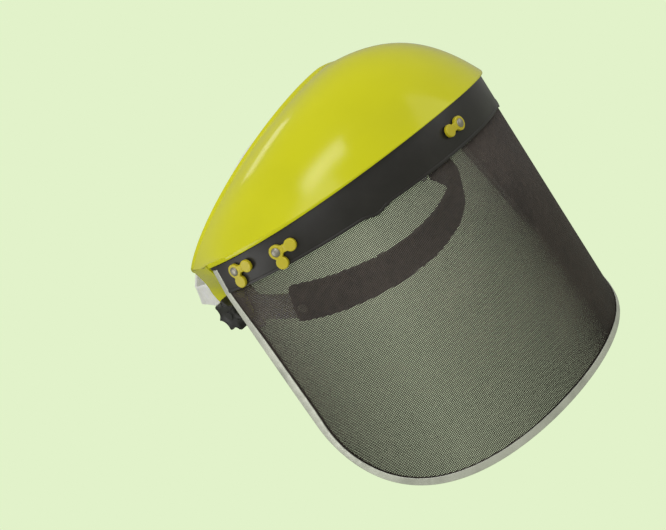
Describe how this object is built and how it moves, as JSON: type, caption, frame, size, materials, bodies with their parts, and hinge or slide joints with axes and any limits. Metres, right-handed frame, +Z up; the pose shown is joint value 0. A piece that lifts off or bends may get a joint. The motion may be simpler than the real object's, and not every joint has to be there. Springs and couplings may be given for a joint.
{
  "type": "face shield",
  "caption": "Head-worn face shield: a domed brow guard with a bound wire-mesh visor, hinged at the temples on an adjustable headgear with a padded sweatband.",
  "frame": {"origin": "midway between the two temple pivots, on the axis the visor lifts about", "axes": "+Z up, the front faces -Y, +X is the wearer's left; the visor is down and the ratchet is at its loosest"},
  "size_m": [0.2782, 0.2824, 0.2609],
  "materials": {
    "guard_plastic": "gloss",
    "button_plastic": "gloss",
    "wire_mesh": "satin",
    "binding_metal": "satin",
    "band_plastic": "satin",
    "backing_plastic": "matte",
    "pin_metal": "satin",
    "headgear_plastic": "satin",
    "sweatband_cover": "matte",
    "pad_cover": "matte",
    "knob_plastic": "satin",
    "insert_brass": "satin",
    "bolt_steel": "satin",
    "washer_plastic": "matte",
    "gear_plastic": "matte"
  },
  "bodies": {
    "headgear": {"headband": "headgear_plastic", "sweatband": "sweatband_cover", "sweatband_rivet_left": "pin_metal", "sweatband_rivet_right": "pin_metal", "pivot_bolt_left": "bolt_steel", "pivot_bolt_right": "bolt_steel", "friction_washer_left": "washer_plastic", "friction_washer_right": "washer_plastic", "crown_strap_left": "headgear_plastic", "crown_strap_right": "headgear_plastic", "crown_rivet_left": "headgear_plastic", "crown_rivet_right": "headgear_plastic"},
    "guard": {"brow_guard": "guard_plastic", "visor_mesh": "wire_mesh", "visor_edge_binding": "binding_metal", "visor_top_band": "band_plastic", "visor_backing_band": "backing_plastic", "button_pin_1": "pin_metal", "button_pin_2": "pin_metal", "button_pin_3": "pin_metal", "button_pin_4": "pin_metal", "button_pin_5": "pin_metal"},
    "button_1": {"turn_button_1": "button_plastic"},
    "button_2": {"turn_button_2": "button_plastic"},
    "button_3": {"turn_button_3": "button_plastic"},
    "button_4": {"turn_button_4": "button_plastic"},
    "button_5": {"turn_button_5": "button_plastic"},
    "left_knob": {"temple_knob_left": "knob_plastic", "knob_insert_left": "insert_brass"},
    "right_knob": {"temple_knob_right": "knob_plastic", "knob_insert_right": "insert_brass"},
    "adjuster": {"ratchet_housing": "headgear_plastic", "ratchet_cover": "headgear_plastic", "cover_screw_left": "bolt_steel", "cover_screw_right": "bolt_steel", "nape_pad": "pad_cover"},
    "ratchet": {"ratchet_knob": "knob_plastic", "ratchet_pinion": "gear_plastic"},
    "strap_left": {"rear_strap_left": "headgear_plastic"},
    "strap_right": {"rear_strap_right": "headgear_plastic"}
  },
  "joints": [
    {"name": "visor_lift", "type": "hinge", "parent": "headgear", "child": "guard", "pos_m": [0, 0, 0], "axis": [-1, 0, 0], "range_deg": [-10, 80]},
    {"name": "button_1_turn", "type": "hinge", "parent": "guard", "child": "button_1", "pos_m": [-0.12426, -0.04813, 0.0297], "axis": [-0.9786, -0.1789, 0.1017], "range_deg": [-90, 0]},
    {"name": "button_2_turn", "type": "hinge", "parent": "guard", "child": "button_2", "pos_m": [-0.11398, -0.07938, 0.0287], "axis": [-0.8931, -0.4422, 0.0824], "range_deg": [-90, 0]},
    {"name": "button_3_turn", "type": "hinge", "parent": "guard", "child": "button_3", "pos_m": [0, -0.14872, 0.0317], "axis": [0, -0.9999, -0.016], "range_deg": [0, 90]},
    {"name": "button_4_turn", "type": "hinge", "parent": "guard", "child": "button_4", "pos_m": [0.11398, -0.07938, 0.0287], "axis": [0.8931, -0.4422, 0.0824], "range_deg": [0, 90]},
    {"name": "button_5_turn", "type": "hinge", "parent": "guard", "child": "button_5", "pos_m": [0.12426, -0.04813, 0.0297], "axis": [0.9786, -0.1789, 0.1017], "range_deg": [0, 90]},
    {"name": "left_knob_turn", "type": "hinge", "parent": "headgear", "child": "left_knob", "pos_m": [0.11, 0, 0], "axis": [1, 0, 0], "range_deg": [0, 270]},
    {"name": "right_knob_turn", "type": "hinge", "parent": "headgear", "child": "right_knob", "pos_m": [-0.11, 0, 0], "axis": [-1, 0, 0], "range_deg": [0, 270]},
    {"name": "adjuster_slide", "type": "slide", "parent": "headgear", "child": "adjuster", "axis": [0, -0.9272, -0.3746], "range_m": [0, 0.01257]},
    {"name": "ratchet_turn", "type": "hinge", "parent": "adjuster", "child": "ratchet", "pos_m": [0, 0.10533, 0.01559], "axis": [0, -0.9272, -0.3746], "range_deg": [0, 180]},
    {"name": "strap_left_slide", "type": "slide", "parent": "headgear", "child": "strap_left", "axis": [-0.7071, -0.6556, -0.2649], "range_m": [0, 0.0178]},
    {"name": "strap_right_slide", "type": "slide", "parent": "headgear", "child": "strap_right", "axis": [0.7071, -0.6556, -0.2649], "range_m": [0, 0.0178]}
  ],
  "couplings": [
    {"joint": "ratchet_turn", "follows": "adjuster_slide", "rad_per_m": 250},
    {"joint": "strap_left_slide", "follows": "adjuster_slide", "ratio": 1.4142},
    {"joint": "strap_right_slide", "follows": "adjuster_slide", "ratio": 1.4142}
  ]
}
